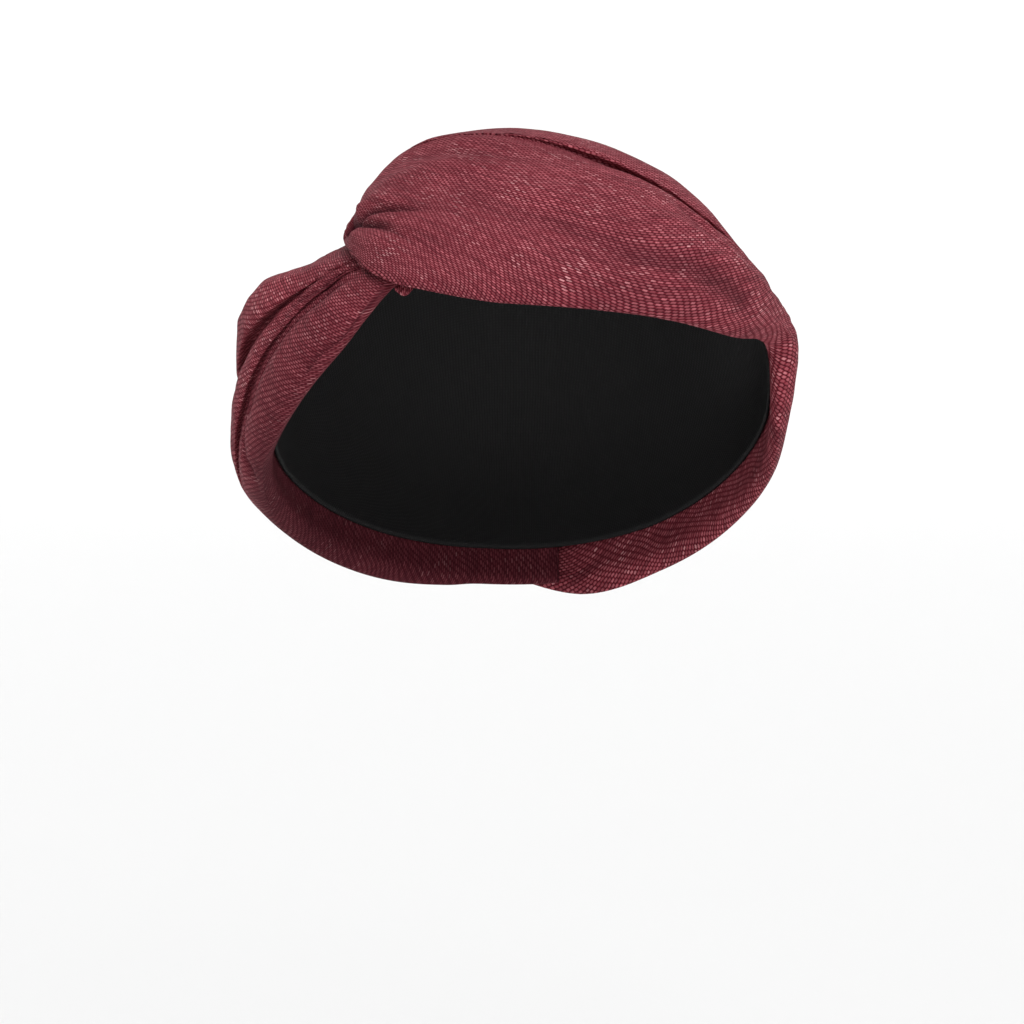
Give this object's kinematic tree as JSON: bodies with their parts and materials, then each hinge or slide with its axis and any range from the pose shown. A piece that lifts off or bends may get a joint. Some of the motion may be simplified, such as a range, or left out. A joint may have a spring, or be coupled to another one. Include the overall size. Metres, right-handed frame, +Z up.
{
  "type": "turban headwrap",
  "caption": "Turban headwrap of folded cloth over a lining cap: a broad front drape gathered into a side knot, pleats round one side and a soft crown, open below for a head",
  "frame": {"origin": "the highest inside point of the lining cap, where the wrap rests on a head", "axes": "+Z up with the wrap tilted back as it is worn, -Y the forehead, +X the side away from the knot; the knot lies at -X"},
  "size_m": [0.203, 0.1903, 0.1841],
  "materials": {
    "wrap_cloth": "soft burgundy twill with paler pinkish yarns showing as short dashes, faint sheen",
    "lining": "plain matte black lining cloth"
  },
  "bodies": {
    "root": {"lining_cap": "lining", "crown_drape": "wrap_cloth", "side_drape": "wrap_cloth", "front_drape": "wrap_cloth", "knot_tail": "wrap_cloth"}
  },
  "joints": []
}
